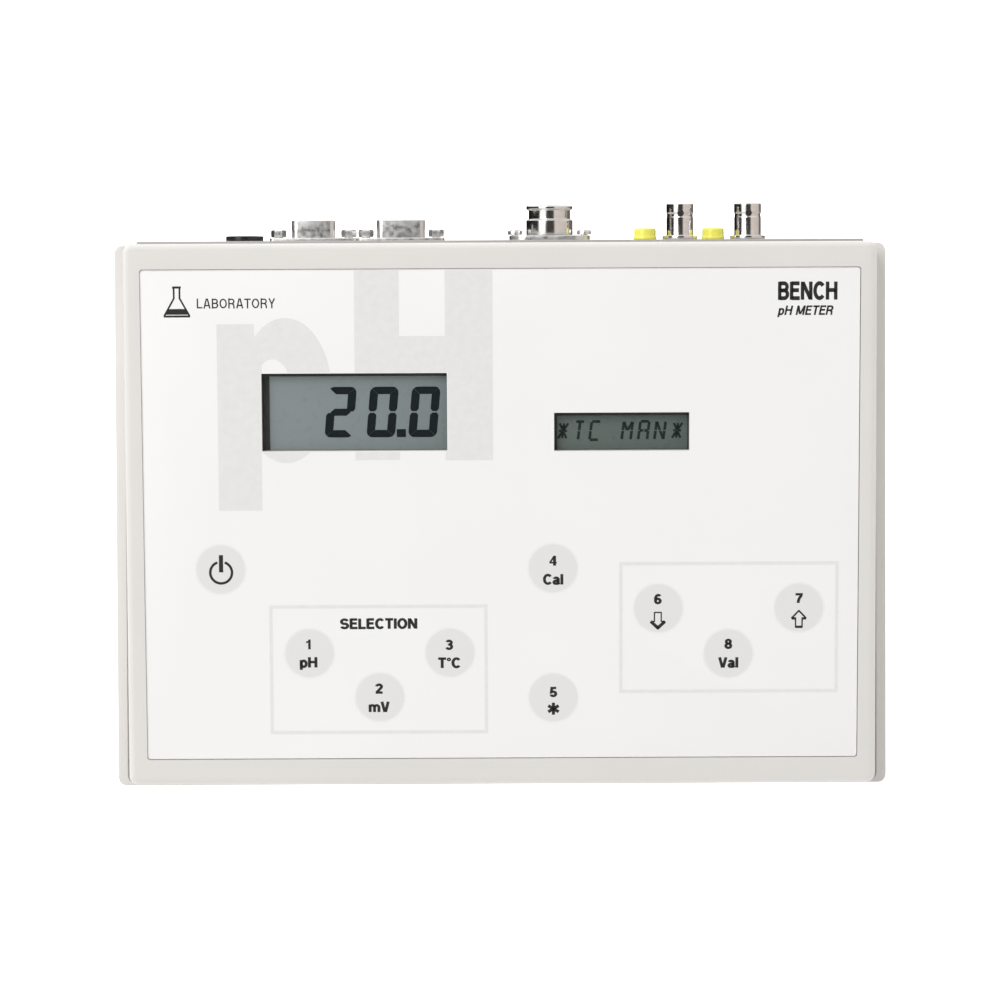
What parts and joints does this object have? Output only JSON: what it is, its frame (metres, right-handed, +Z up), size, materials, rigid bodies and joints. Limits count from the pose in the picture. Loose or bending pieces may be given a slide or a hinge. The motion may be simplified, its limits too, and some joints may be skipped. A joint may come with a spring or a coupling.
{
  "type": "benchtop ph meter",
  "caption": "Sloping desktop pH meter console with a recessed membrane keypad, two liquid crystal displays and a row of rear electrode and data sockets.",
  "frame": {"origin": "on the surface it stands on, under the middle of the outer box", "axes": "+X to the user's right, +Y to the rear, where the sockets are, +Z up"},
  "size_m": [0.2758, 0.207, 0.0627],
  "materials": {
    "housing": "warm grey moulded plastic, fine texture",
    "tray": "warm grey moulded plastic, fine texture",
    "overlay": "white printed film, satin",
    "key": "light grey printed film, satin",
    "pane": "clear, polished",
    "lcd": "grey-green liquid crystal glass",
    "board": "green solder mask",
    "ribbon": "grey flat cable",
    "sheet_steel": "tinned sheet, satin",
    "chrome": "nickel plate, polished",
    "screw_steel": "zinc plated, satin",
    "black_plastic": "black moulded plastic",
    "yellow_plastic": "yellow moulded plastic",
    "white_plastic": "white insulator",
    "rubber": "black rubber, matt",
    "rear_plate": "grey painted sheet"
  },
  "bodies": {
    "case": {"aux_bnc": "chrome", "aux_bnc_contact": "white_plastic", "aux_bnc_nut": "screw_steel", "aux_lcd": "lcd", "aux_window": "pane", "base_tray": "tray", "case_screw_1": "screw_steel", "case_screw_2": "screw_steel", "case_screw_3": "screw_steel", "case_screw_4": "screw_steel", "dc_socket": "black_plastic", "dc_socket_nut": "black_plastic", "display_board": "board", "display_board_screw_1": "screw_steel", "display_board_screw_2": "screw_steel", "display_board_screw_3": "screw_steel", "display_board_screw_4": "screw_steel", "earth_socket": "yellow_plastic", "foot_1": "rubber", "foot_2": "rubber", "foot_3": "rubber", "foot_4": "rubber", "front_overlay": "overlay", "input_shield": "sheet_steel", "jackscrew_1": "screw_steel", "jackscrew_2": "screw_steel", "jackscrew_3": "screw_steel", "jackscrew_4": "screw_steel", "main_board": "board", "main_board_screw_1": "screw_steel", "main_board_screw_2": "screw_steel", "main_board_screw_3": "screw_steel", "main_board_screw_4": "screw_steel", "main_lcd": "lcd", "main_window": "pane", "output_insert": "black_plastic", "output_shell": "sheet_steel", "ph_bnc": "chrome", "ph_bnc_contact": "white_plastic", "ph_bnc_nut": "screw_steel", "probe_socket": "chrome", "probe_socket_insert": "black_plastic", "probe_socket_screw_1": "screw_steel", "probe_socket_screw_2": "screw_steel", "rear_panel": "rear_plate", "reference_socket": "yellow_plastic", "ribbon_cable": "ribbon", "serial_insert": "black_plastic", "serial_shell": "sheet_steel", "top_cover": "housing"},
    "key_power_body": {"key_power": "key"},
    "key_1_body": {"key_1": "key"},
    "key_2_body": {"key_2": "key"},
    "key_3_body": {"key_3": "key"},
    "key_4_body": {"key_4": "key"},
    "key_5_body": {"key_5": "key"},
    "key_6_body": {"key_6": "key"},
    "key_7_body": {"key_7": "key"},
    "key_8_body": {"key_8": "key"}
  },
  "joints": [
    {"name": "key_power_press", "type": "slide", "parent": "case", "child": "key_power_body", "axis": [0, 0.1219, -0.9925], "range_m": [0, 0.0005], "stiffness_N_per_m": 1000, "springref_m": -0.001},
    {"name": "key_1_press", "type": "slide", "parent": "case", "child": "key_1_body", "axis": [0, 0.1219, -0.9925], "range_m": [0, 0.0005], "stiffness_N_per_m": 1000, "springref_m": -0.001},
    {"name": "key_2_press", "type": "slide", "parent": "case", "child": "key_2_body", "axis": [0, 0.1219, -0.9925], "range_m": [0, 0.0005], "stiffness_N_per_m": 1000, "springref_m": -0.001},
    {"name": "key_3_press", "type": "slide", "parent": "case", "child": "key_3_body", "axis": [0, 0.1219, -0.9925], "range_m": [0, 0.0005], "stiffness_N_per_m": 1000, "springref_m": -0.001},
    {"name": "key_4_press", "type": "slide", "parent": "case", "child": "key_4_body", "axis": [0, 0.1219, -0.9925], "range_m": [0, 0.0005], "stiffness_N_per_m": 1000, "springref_m": -0.001},
    {"name": "key_5_press", "type": "slide", "parent": "case", "child": "key_5_body", "axis": [0, 0.1219, -0.9925], "range_m": [0, 0.0005], "stiffness_N_per_m": 1000, "springref_m": -0.001},
    {"name": "key_6_press", "type": "slide", "parent": "case", "child": "key_6_body", "axis": [0, 0.1219, -0.9925], "range_m": [0, 0.0005], "stiffness_N_per_m": 1000, "springref_m": -0.001},
    {"name": "key_7_press", "type": "slide", "parent": "case", "child": "key_7_body", "axis": [0, 0.1219, -0.9925], "range_m": [0, 0.0005], "stiffness_N_per_m": 1000, "springref_m": -0.001},
    {"name": "key_8_press", "type": "slide", "parent": "case", "child": "key_8_body", "axis": [0, 0.1219, -0.9925], "range_m": [0, 0.0005], "stiffness_N_per_m": 1000, "springref_m": -0.001}
  ]
}
